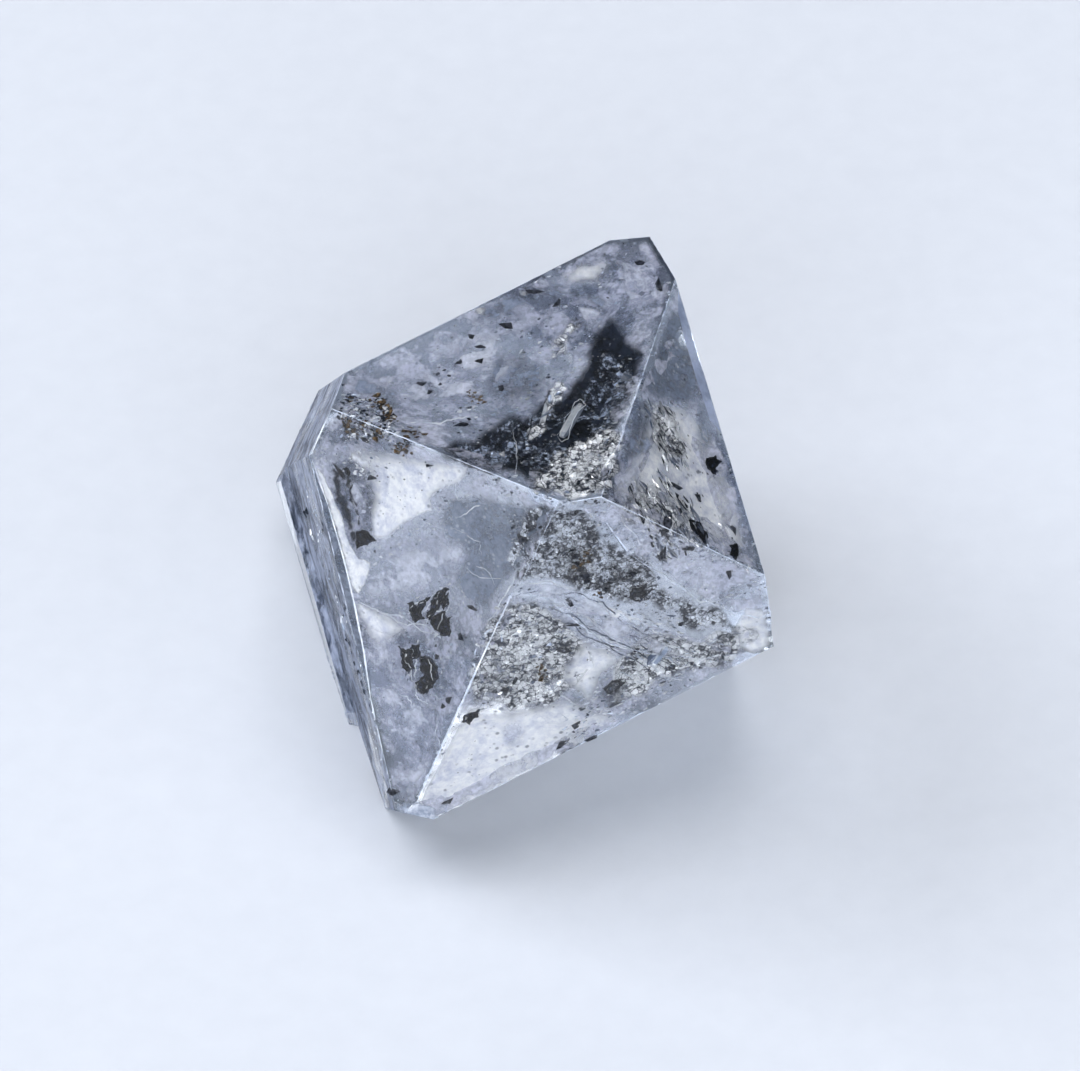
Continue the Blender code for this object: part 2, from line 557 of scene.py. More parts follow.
def flat_faces(first):
    """The solid's faces that lie flat with this one and join it."""
    angle = 0.02  # radians
    found, edge = {first}, [first]
    while edge:
        for side in edge.pop().edges:
            for face in side.link_faces:
                if face not in found and face.normal.angle(first.normal) < angle:
                    found.add(face)
                    edge.append(face)
    return found


def in_solid(point, room):
    """Whether the point, in mm, lies inside the crystal with this much room round it."""
    nearest, normal, _, off = SURFACE.find_nearest(point)
    return off > room and (point - nearest).dot(normal) < 0


def add_veil(name, centre, way, size, material, seed):
    """A healed crack across the crystal: a wavy oval sheet that faces this heading and rise."""
    step, lumps, relief = 0.22, 2.5, 0.35  # mm
    axes = facing(*way).to_track_quat("Z", "Y").to_matrix()
    across, along = (round(half / step) for half in size)
    places, rims, number = [], [], {}
    for row in range(-along, along + 1):
        for column in range(-across, across + 1):
            wave = noise.fractal(Vector((column * step, row * step, seed * 9)) / lumps, 1, 2, 4) * relief
            place = Vector(centre) + axes @ Vector((column * step, row * step, wave))
            off = 1 - math.hypot(column / across, row / along)
            if off > 0 and in_solid(place, 2 * SKIN):
                number[row, column] = len(places)
                places.append(place)
                rims.append(min(1, off * 2))
    faces = []
    for row, column in number:
        corners = [(row, column), (row, column + 1), (row + 1, column + 1), (row + 1, column)]
        if all(corner in number for corner in corners):
            faces.append([number[corner] for corner in corners])
    add_piece(name, places, faces, material, rims)


def add_strewn(name, material, count, sizes, seed):
    """Grains strewn through the whole crystal."""
    chance = random.Random(seed)
    kinds = shards(chance)
    room = 0.3  # mm from the nearest face
    low = [min(vert.co[i] for vert in SOLID.verts) for i in range(3)]
    high = [max(vert.co[i] for vert in SOLID.verts) for i in range(3)]
    points, faces, tones = [], [], []
    while count:
        centre = Vector(chance.uniform(a, b) for a, b in zip(low, high))
        if not in_solid(centre, room):
            continue
        count -= 1
        corners, sides = chance.choice(kinds)
        turn = Euler([chance.uniform(0, ANY_WAY) for _ in range(3)]).to_matrix()
        half = sizes[0] + (sizes[1] - sizes[0]) * chance.random() ** 2
        faces += [[len(points) + i for i in side] for side in sides]
        tones += [chance.random() for _ in sides]
        flat = Vector((1, 0.7, 0.5)) * half
        points += [centre + turn @ (corner * flat) for corner in corners]
    add_piece(name, points, faces, material, tones=tones)


def face_seen(x, y):
    """The flat part of the crystal that shows at x, y, as faces of the solid."""
    SOLID.faces.ensure_lookup_table()
    return flat_faces(SOLID.faces[SURFACE.ray_cast(EYE, sight(x, y))[2]])


def face_outline(x, y):
    """The outline in the view of the crystal's face that shows at x, y, drawn in a little."""
    shrink, shortest = 2, 2
    seen = [in_view(vert.co) for face in face_seen(x, y) for vert in face.verts]
    hull = [seen[i] for i in convex_hull_2d(seen)]
    hull = [point for i, point in enumerate(hull) if (point - hull[i - 1]).length > shortest]
    centre = sum(hull, Vector((0, 0))) / len(hull)
    return [point + (centre - point).normalized() * shrink for point in hull]


def in_view(point):
    """Where the camera sees this point."""
    off = TURN.transposed() @ (point - EYE)
    step = LENS / SENSOR * VIEW_WIDE / -off.z
    return Vector((VIEW_WIDE / 2 + off.x * step, VIEW_HIGH / 2 - off.y * step))


def small_faces(outline):
    """The small chipped faces that the camera sees inside this outline."""
    largest = 0.4  # square mm
    seen = set()
    for face in SOLID.faces:
        x, y = in_view(face.calc_center_median())
        if face.calc_area() < largest and within(outline, x, y) and face.normal.dot(TURN.col[2]) > 0:
            seen.add(face)
    return seen


def add_skin(name, group, material):
    """Copies of these faces of the solid, a hair above it."""
    points, faces = [], []
    for face in sorted(group, key=lambda face: face.index):
        faces.append([len(points) + i for i in range(len(face.verts))])
        points += [vert.co + face.normal * LIFT for vert in face.verts]
    add_piece(name, points, faces, material)


def add_worn_edges(name, material, seed):
    """Both sides of each sharp edge, chipped to a chance width, a hair above the solid.

    The edges round the top face are the least worn.
    """
    sharp = math.radians(18)
    most, least_worn, step, shortest = 0.042, 0.014, 0.1, 0.25  # mm
    top = max(vert.co.z for vert in SOLID.verts) - 0.5
    chance = random.Random(seed)
    points, faces = [], []
    for edge in SOLID.edges:
        length = edge.calc_length()
        if length < shortest or edge.calc_face_angle_signed(0) < sharp:
            continue
        steps = max(2, round(length / step))
        ends = [vert.co for vert in edge.verts]
        out = sum((face.normal for face in edge.link_faces), Vector()).normalized() * LIFT
        widest = least_worn if max(end.z for end in ends) > top else most
        for face in edge.link_faces:
            along = ends[1] - ends[0]
            inward = along.cross(face.normal).normalized()
            if inward.dot(face.calc_center_median() - ends[0]) < 0:
                inward.negate()
            first = len(points)
            for i in range(steps + 1):
                on_edge = ends[0].lerp(ends[1], i / steps)
                wide = widest * chance.uniform(0.15, 1) ** 1.5
                points += [on_edge + out, on_edge + inward * wide + face.normal * LIFT]
            for i in range(first, first + 2 * steps, 2):
                faces.append((i, i + 1, i + 3, i + 2))
    add_piece(name, points, faces, material)


# ---------------------------------------------------------------- finishes of what is inside


SEALED_IOR = 1.12  # of what is sealed in the quartz, against the quartz round it


def veil_finish(name, colour, shade, thin, thick, lump, contrast=(0.4, 0.6), dots=0.5, gritty=0.15,
                pitted=0):
    """A haze of tiny pockets, thin to thick in soft lumps, with fine grit and pale dots in it."""
    finish = Finish(name)
    patches = finish.noise(lump, 5, 0.62, 0.3).ramp(*contrast)
    grit = finish.noise(0.16, 4, 0.65).ramp(0.4, 0.6)
    spots = finish.cells(0.15).ramp(0.34, 0.16) * finish.noise(0.9, 3).ramp(0.45, 0.6) * dots
    pits = finish.cells(0.19).ramp(0.36, 0.14) * finish.noise(0.6, 4, 0.65).ramp(0.5, 0.62) * pitted
    rim = finish.attribute("rim").ramp(0, 1)
    tone = (patches * (1 - gritty) + grit * gritty).mix((*shade, 1), (*colour, 1))
    veil = finish.principled(
        Base_Color=pits.mix(spots.mix(tone, (0.95, 0.97, 1, 1)), (0.03, 0.04, 0.07, 1)),
        Roughness=0.45,
        IOR=SEALED_IOR,
        Alpha=(thin + (patches * 0.7 + grit * 0.3) * (thick - thin)) * rim,
    )
    return finish.finished(veil)


def black_finish():
    """Anthraxolite: brittle black matter with a pitchy shine on its broken faces."""
    finish = Finish("black flake")
    tone = finish.noise(0.1, 5, 0.7).ramp(0.52, 0.7).mix((0, 0, 0.001, 1), (0.035, 0.05, 0.1, 1))
    flake = finish.principled(
        Base_Color=tone,
        Roughness=finish.noise(0.15, 3) * 0.4 + 0.2,
        IOR=SEALED_IOR,
        Normal=finish.bump(finish.cells(0.12), 0.05),
    )
    return finish.finished(flake)


def speck_finish(name, dark, light, lump=0.08):
    """Clay or iron stain: fine crumbs in two tones; also the painted shade between the shell's bands."""
    finish = Finish(name)
    tone = finish.noise(lump, 4).ramp(0.35, 0.65).mix((*dark, 1), (*light, 1))
    crumb = finish.principled(
        Base_Color=tone,
        Roughness=finish.noise(0.1) * 0.3 + 0.5,
        IOR=SEALED_IOR,
        Normal=finish.bump(finish.noise(0.03, 3), 0.01),
    )
    return finish.finished(crumb)


def crack_glint_finish(name, dark, light, size, low=0.2, high=0.8, cover=(0.34, 0.46)):
    """A crumpled open crack: each of its small walls, about size mm, is painted bright or dark by chance,
    darker along the walls' edges: painted glints and painted shade.
    """
    finish = Finish(name)
    clusters = (finish.noise(0.5, 3, 0.6) - 0.5) * 1.2
    # each wall's painted glint or shade
    walls = finish.cell_tone(size) * 0.5 + finish.cell_tone(size * 0.5) * 0.35
    walls = walls + finish.attribute("tone") * 0.15
    # painted shade along the edges between the walls
    gaps = finish.cells(size, "DISTANCE_TO_EDGE").ramp(0.09, 0) * 0.3
    tone = (walls + clusters - gaps + finish.noise(0.06, 3, 0.7) * 0.3 - 0.12).ramp(low, high)
    wall = finish.principled(
        Base_Color=tone.mix((*dark, 1), (*light, 1)),
        Metallic=0.25,
        Roughness=finish.noise(0.2) * 0.3 + 0.15,
        Alpha=finish.attribute("rim").ramp(0, 0.8) * finish.noise(0.35, 5, 0.7).ramp(*cover),
        Normal=finish.bump(finish.cells(size), 0.04),
    )
    return finish.finished(wall)


def pocket_glint_finish(name, dark, light, metallic=0.4):
    """Tiny hollows with flat walls, each face painted bright or dark by its chance tone: painted glints and
    painted shade.
    """
    finish = Finish(name)
    # painted glint or shade: each face's chance tone, mixed from dark to light
    tone = (finish.attribute("tone") * 0.8 + finish.noise(0.12, 4, 0.6) * 0.4 - 0.1).ramp(0.1, 0.9)
    wall = finish.principled(
        Base_Color=tone.mix((*dark, 1), (*light, 1)),
        Metallic=metallic,
        Roughness=finish.noise(0.1) * 0.2 + 0.1,
    )
    return finish.finished(wall)


def frost_finish(name, dark, light):
    """Quartz chipped fine enough to look frosted."""
    finish = Finish(name)
    chips = finish.noise(0.12, 4, 0.7)
    frost = finish.principled(
        Base_Color=chips.ramp(0.3, 0.7).mix((*dark, 1), (*light, 1)),
        Roughness=0.45,
        Alpha=finish.noise(0.6, 4, 0.6).ramp(0.36, 0.6) * 0.75 + 0.1,
        Normal=finish.bump(chips, 0.02),
    )
    return finish.finished(frost)


def skin_finish(name, lean):
    """A grown skin: fine stripes and blotches, drawn out along the strip and the way that it runs back."""
    finish = Finish(name)
    run = (view_turn(lean).to_euler(), (3, 1, 6))
    stripes = finish.noise(0.11, 5, 0.65, 0.6, run).ramp(0.38, 0.62)
    blotches = finish.noise(0.26, 4, 0.6, 0.8, run).ramp(0.42, 0.58)
    tone = (stripes * 0.4 + blotches * 0.6).mix((0.02, 0.03, 0.055, 1), (0.34, 0.38, 0.5, 1))
    skin = finish.principled(
        Base_Color=tone,
        Roughness=0.5,
        IOR=SEALED_IOR,
        Alpha=finish.noise(0.3, 4, 0.6, 0.3, run).ramp(0.35, 0.6) * 0.4 + 0.38,
    )
    return finish.finished(skin)


def seam_and_highlight_finish():
    # White threads for healed seams; the same finish paints the highlight lines along edges and the glints
    # on the black flakes.
    finish = Finish("healed seam")
    tone = finish.noise(0.3, 4).ramp(0.3, 0.7).mix((0.55, 0.6, 0.7, 1), (0.98, 0.99, 1, 1))
    cover = finish.noise(0.5, 4).ramp(0.25, 0.5) * 0.85
    return finish.finished(finish.principled(Base_Color=tone, Roughness=0.4, Alpha=cover))


# ---------------------------------------------------------------- what is inside


def add_hazes():
    """The cloud of tiny pockets that lies under every face."""
    cloud = veil_finish("pale cloud", (0.76, 0.77, 0.9), (0.24, 0.27, 0.37), 0.2, 0.78, 0.7, (0.4, 0.58),
                        0.7, 0.3, 0.6)
    deep = veil_finish("blue cloud", (0.66, 0.74, 0.92), (0.1, 0.13, 0.21), 0.4, 0.9, 0.8)
    # Where the face shows, its cloud and how deep that lies in mm.
    faces = {
        "haze_top": (480, 350, cloud, 1.3), "haze_right": (700, 450, cloud, 1.1),
        "haze_left": (420, 560, cloud, 1.2), "haze_front": (600, 640, cloud, 1),
        "haze_ledge": (690, 560, cloud, 0.9), "haze_side": (300, 440, deep, 0.5),
        "haze_strip": (345, 640, deep, 0.5),
    }
    for seed, (name, (x, y, finish, depth)) in enumerate(faces.items(), 1):
        add_film(name, finish, depth, spacing=9, relief=0.3, lumps=60, fade=2, jags=0.01,
                 outline=face_outline(x, y), seed=seed, rise=70)


def add_films():
    dusk = veil_finish("dark haze", (0.3, 0.35, 0.46), (0.015, 0.02, 0.035), 0.35, 0.95, 0.7, dots=0.2)
    # Painted shade for the top face's window, and black films for the slashes on the left face.
    black = veil_finish("black film and painted shade", (0.022, 0.03, 0.05), (0.001, 0.002, 0.004), 0.95, 1, 0.5, dots=0.15)
    white = veil_finish("white veil", (1, 1, 1), (0.66, 0.69, 0.82), 0.8, 1, 0.55, (0.32, 0.56), 0.5,
                        0.3, 0.7)
    blue = veil_finish("blue glassy haze", (0.27, 0.31, 0.4), (0.09, 0.12, 0.17), 0.55, 0.88, 0.6,
                       (0.38, 0.62), 0.3, 0.3, 0.5)
    pale = veil_finish("pale haze", (0.86, 0.88, 0.98), (0.34, 0.37, 0.49), 0.2, 0.75, 0.7)
    crack = crack_glint_finish("open crack", (0.004, 0.008, 0.022), (0.88, 0.92, 1), 0.11, 0.28, 0.78)
    glitter = crack_glint_finish("bright crack", (0.006, 0.011, 0.028), (0.97, 0.98, 1), 0.15, 0.22, 0.64)
    # Only over the top face's window: a rippled painted shade with painted glints.
    ripple = crack_glint_finish("dark crack", (0.004, 0.008, 0.02), (0.62, 0.72, 0.92), 0.12, 0.36, 0.95,
                          (0.42, 0.54))
    milky = veil_finish("milky haze", (0.52, 0.58, 0.74), (0.3, 0.35, 0.48), 0.88, 1, 0.9, dots=0.2)
    # Each: finish, depth, spacing, relief, lumps, fade, jags, outline.
    films = {
        # top face
        # The black film under the top face's window and the dark crack over it paint the dark that clear
        # quartz shows there: painted shade.
        "film_window": (black, 0.4, 6, 0.2, 50, 9, 0.22, at(426, 449, 444, 444, 456, 436, 474, 437,
            484, 424, 505, 412, 524, 414, 534, 402, 556, 398, 566, 380, 584, 362, 586, 344, 600, 324,
            611, 311, 626, 328, 636, 344, 650, 348, 643, 376, 630, 412, 620, 450, 606, 486, 562, 490,
            505, 474)),
        "ripple_window": (ripple, 0.34, 7, 0.15, 16, 12, 0.25, at(440, 448, 470, 440, 520, 418, 560, 412,
            580, 392, 600, 350, 630, 350, 634, 400, 616, 452, 600, 480, 560, 486, 505, 470)),
        "swirl": (dusk, 0.29, 5, 0.2, 16, 14, 0.15, at(494, 350, 530, 344, 552, 366, 548, 400, 512, 408,
            488, 402, 480, 378)),
        "crack_star": (glitter, 0.12, 4, 0.15, 9, 8, 0.3, at(526, 490, 536, 470, 550, 456, 566, 446,
            596, 430, 612, 420, 622, 430, 618, 456, 610, 492, 590, 497, 555, 494)),
        "feather_mid": (glitter, 0.16, 4, 0.1, 9, 4, 0.3, at(554, 382, 566, 384, 564, 396, 556, 404,
            560, 414, 548, 428, 534, 440, 526, 442, 538, 424, 546, 408, 546, 394)),
        "feather": (glitter, 0.25, 4, 0.15, 9, 8, 0.3, at(548, 350, 562, 322, 578, 312, 584, 322, 570, 350,
            556, 362)),
        "dusk_edge": (dusk, 0.21, 5, 0.1, 16, 8, 0.15, at(440, 336, 476, 314, 520, 290, 550, 280, 556, 292,
            530, 306, 490, 322, 450, 338)),
        "blue_band": (blue, 0.25, 5, 0.1, 12, 8, 0.15, at(535, 282, 575, 284, 612, 300, 606, 312, 570, 300,
            540, 298)),
        "pale_triangle": (pale, 0.23, 4, 0.05, 12, 5, 0.03, at(574, 304, 606, 308, 589, 336)),
        "white_top": (white, 0.21, 5, 0.1, 12, 16, 0.15, at(552, 278, 578, 260, 606, 254, 616, 268,
            598, 286, 566, 286)),
        "pale_tip": (pale, 0.25, 5, 0.1, 12, 10, 0.15, at(610, 252, 648, 244, 664, 270, 662, 300, 640, 318,
            622, 300, 618, 270)),
        "dusk_left": (dusk, 0.21, 5, 0.15, 14, 6, 0.15, at(350, 386, 362, 374, 386, 382, 398, 398, 372, 396,
            356, 396)),
        "pale_left": (pale, 0.29, 5, 0.15, 30, 18, 0.15, at(380, 376, 440, 350, 500, 330, 520, 360,
            480, 410, 420, 412, 380, 400)),
        # upper front right face
        "blue_right": (blue, 0.26, 6, 0.1, 12, 8, 0.04, at(669, 306, 682, 312, 694, 350, 702, 384, 694, 408,
            676, 404, 660, 402, 644, 396, 640, 380, 654, 350)),
        "milky_edge": (milky, 0.12, 4, 0.03, 12, 0, 0, at(678, 286, 687, 312, 698, 344, 712, 392, 726, 438,
            710, 420, 698, 384, 686, 344, 678, 312)),
        "dark_wedge": (dusk, 0.22, 5, 0.08, 12, 5, 0.05, at(641, 394, 652, 404, 650, 430, 656, 450,
            632, 460, 611, 470, 626, 440)),
        "lavender": (pale, 0.3, 6, 0.1, 12, 10, 0.05, at(608, 478, 636, 462, 652, 470, 640, 500, 640, 530,
            622, 530, 602, 500)),
        "blue_smooth": (blue, 0.3, 5, 0.08, 12, 12, 0.05, at(692, 404, 706, 400, 718, 440, 704, 462,
            694, 440)),
        "blue_corner": (blue, 0.3, 5, 0.08, 12, 12, 0.05, at(736, 540, 750, 548, 760, 574, 744, 572,
            734, 560)),
        "pale_right": (white, 0.42, 6, 0.1, 40, 16, 0.05, at(646, 400, 690, 404, 724, 450, 752, 560,
            734, 562, 680, 528, 608, 494, 620, 470)),
        "feather_high": (glitter, 0.2, 6, 0.2, 12, 10, 0.3, at(648, 402, 662, 404, 678, 420, 684, 460,
            670, 462, 656, 450, 650, 430)),
        "feather_low": (glitter, 0.2, 6, 0.2, 12, 12, 0.3, at(630, 490, 656, 480, 676, 500, 694, 530,
            686, 545, 660, 545, 636, 530, 620, 505)),
        # lower front left face
        "white_block": (white, 0.22, 5, 0.1, 40, (3, 46, 124), 0.04, at(340, 428, 380, 442, 424, 452,
            472, 463, 467, 479, 458, 486, 441, 492, 433, 498, 434, 511, 420, 516, 408, 523, 386, 541,
            372, 541, 366, 520, 368, 500, 352, 470)),
        "strip_side": (blue, 0.05, 4, 0.01, 12, 0, 0, at(311, 462, 328, 508, 342, 557, 354, 607, 363, 652,
            369, 692, 360, 660, 348, 610, 336, 560, 323, 508)),
        "white_left": (white, 0.12, 3, 0.03, 40, 2, 0.05, at(315, 464, 323, 472, 334, 494, 343, 517,
            350, 542, 359, 556, 372, 563, 368, 578, 359, 596, 352, 588, 340, 545, 328, 504, 317, 472)),
        "white_high": (white, 0.2, 5, 0.1, 40, 7, 0.1, at(342, 446, 356, 450, 372, 460, 374, 474, 362, 470,
            350, 462)),
        "blue_left": (pale, 0.14, 5, 0.05, 30, 5, 0.06, at(346, 478, 358, 480, 368, 500, 372, 528, 364, 536,
            356, 520, 350, 498)),
        "black_slash": (black, 0.07, 3, 0.02, 20, 2, 0.25, at(329, 466, 336, 468, 340, 478, 341, 492,
            348, 506, 352, 522, 358, 538, 357, 550, 350, 538, 344, 520, 338, 504, 334, 486)),
        "black_slash_high": (black, 0.06, 3, 0.02, 20, 1, 0.2, at(345, 472, 349, 474, 352, 488, 358, 508,
            362, 530, 358, 526, 353, 506, 348, 490)),
        "blue_middle": (blue, 0.16, 5, 0.05, 60, 9, 0.05, at(446, 494, 470, 494, 500, 498, 530, 503,
            559, 508, 545, 532, 520, 572, 502, 590, 488, 612, 462, 602, 452, 578, 464, 556, 446, 540,
            436, 516)),
        "dusk_middle": (dusk, 0.28, 5, 0.05, 40, 14, 0.05, at(466, 522, 480, 518, 494, 530, 486, 548,
            470, 544)),
        "ring_middle": (pale, 0.24, 5, 0.05, 40, 8, 0.05, at(448, 542, 462, 540, 468, 552, 460, 564,
            448, 560)),
        "pale_middle": (pale, 0.3, 5, 0.15, 30, 20, 0.05, at(360, 560, 400, 545, 440, 530, 466, 552,
            452, 590, 420, 600, 370, 606, 350, 590)),
        "white_corner": (white, 0.1, 4, 0.03, 12, (2, 26, -60), 0.03, at(353, 600, 366, 604, 396, 614,
            420, 624, 404, 638, 380, 654, 366, 644, 358, 622)),
        "pale_low": (pale, 0.25, 5, 0.2, 40, 10, 0.05, at(362, 622, 400, 634, 404, 680, 440, 704, 440, 760,
            410, 802, 394, 796, 376, 706)),
        # lower front right face
        "crack_upper": (crack, 0.15, 4.2, 0.15, 9, 10, 0.2, at(520, 514, 545, 500, 566, 504, 600, 518,
            626, 548, 660, 578, 700, 604, 742, 624, 740, 640, 690, 634, 640, 604, 600, 596, 560, 584,
            514, 582, 506, 548)),
        "crack_lower": (glitter, 0.13, 5, 0.15, 8, 8, 0.2, at(506, 600, 545, 604, 584, 640, 598, 662,
            566, 694, 510, 714, 472, 706, 466, 674, 484, 640)),
        "crack_right": (glitter, 0.15, 5, 0.15, 9, 10, 0.2, at(636, 640, 700, 640, 752, 624, 764, 640,
            700, 672, 640, 700, 600, 716, 610, 680)),
        "white_patch": (white, 0.05, 4, 0.01, 12, 20, 0.2, at(553, 664, 566, 652, 576, 640, 592, 636,
            609, 640, 622, 650, 628, 668, 606, 678, 602, 692, 590, 708, 572, 696, 556, 680)),
        "navy_patch": (dusk, 0.11, 4, 0.03, 12, 4, 0.25, at(598, 694, 606, 684, 616, 678, 630, 680,
            626, 692, 622, 706, 610, 712, 600, 704)),
        "milky_corner": (white, 0.1, 4, 0.02, 12, 10, 0.08, at(744, 604, 768, 606, 771, 622, 774, 648,
            752, 660, 736, 650, 732, 626)),
        # A white sheet that paints the bright reflection the lower front face shows: painted reflection.
        "white_front": (white, 0.2, 5, 0.05, 40, (0, 20, 75), 0.02, at(416, 808, 436, 766, 456, 722,
            470, 702, 510, 708, 566, 692, 598, 706, 636, 718, 600, 740, 520, 781, 440, 822)),
        "grey_front": (pale, 0.12, 5, 0.05, 40, 14, 0.05, at(496, 722, 512, 716, 530, 722, 526, 744,
            510, 756, 498, 744)),
        "pale_shell": (pale, 0.08, 4, 0.05, 12, 6, 0.05, at(516, 584, 552, 582, 584, 592, 616, 614,
            654, 634, 694, 656, 664, 660, 610, 640, 574, 614, 548, 600, 520, 594)),
    }
    for seed, (name, film) in enumerate(films.items(), 11):
        add_film(name, *film, seed, rise=18)


def add_flakes():
    black = black_finish()
    flakes = {
        "flake_upper_a": at(407, 603, 413, 601, 417, 606, 426, 597, 431, 596, 424, 607, 421, 613, 425, 619,
            415, 623, 410, 615),
        "flake_upper_b": at(436, 593, 446, 587, 450, 589, 443, 600, 436, 611, 429, 620, 426, 616, 431, 604),
        "flake_upper_c": at(430, 623, 439, 613, 446, 611, 447, 618, 453, 616, 450, 628, 449, 637, 440, 635,
            434, 629),
        "flake_upper_d": at(441, 604, 449, 592, 449, 605, 444, 610),
        "flake_lower_a": at(398, 646, 406, 650, 412, 644, 420, 643, 421, 654, 412, 660, 415, 668, 408, 674,
            402, 668),
        "flake_lower_b": at(420, 656, 430, 657, 438, 668, 439, 678, 433, 688, 421, 694, 415, 682, 424, 674),
        "flake_left": at(356, 532, 364, 530, 377, 541, 368, 546, 357, 549),
        "flake_thread": at(343, 468, 347, 467, 352, 488, 350, 492),
        "flake_right": at(632, 588, 644, 584, 648, 594, 640, 602, 629, 598),
        "flake_bottom": at(461, 722, 469, 713, 480, 709, 479, 717, 470, 725),
        "flake_side_a": at(688, 520, 697, 521, 704, 530, 706, 546, 700, 538, 692, 530),
        "flake_side_b": at(706, 458, 716, 455, 722, 462, 716, 475, 709, 470),
        "flake_side_c": at(729, 545, 736, 543, 739, 552, 735, 560, 730, 554),
        "flake_base": at(604, 690, 612, 680, 626, 681, 620, 688, 610, 694),
        "flake_strip": at(345, 640, 352, 640, 357, 660, 361, 694, 352, 668),
    }
    for seed, (name, outline) in enumerate(flakes.items(), 60):
        add_film(name, black, depth=0.1, spacing=2.5, relief=0.03, lumps=6, fade=10, jags=0.22,
                 outline=outline, seed=seed, thick=0.03)


def spots(*places):
    """Groups of one grain, each: x, y, size in view steps, times longer than wide, lean."""
    depths, fuller = (0.06, 0.12), 1.35
    return [([(x, y)], depths, (size * fuller, size * fuller), stretch, lean)
            for x, y, size, stretch, lean in places]


def strewn(depths, *areas):
    """Groups that fill an outline, each: outline, count, least and most half-length, stretch, lean."""
    return [([outline, count], depths, (least, most), stretch, lean)
            for outline, count, least, most, stretch, lean in areas]


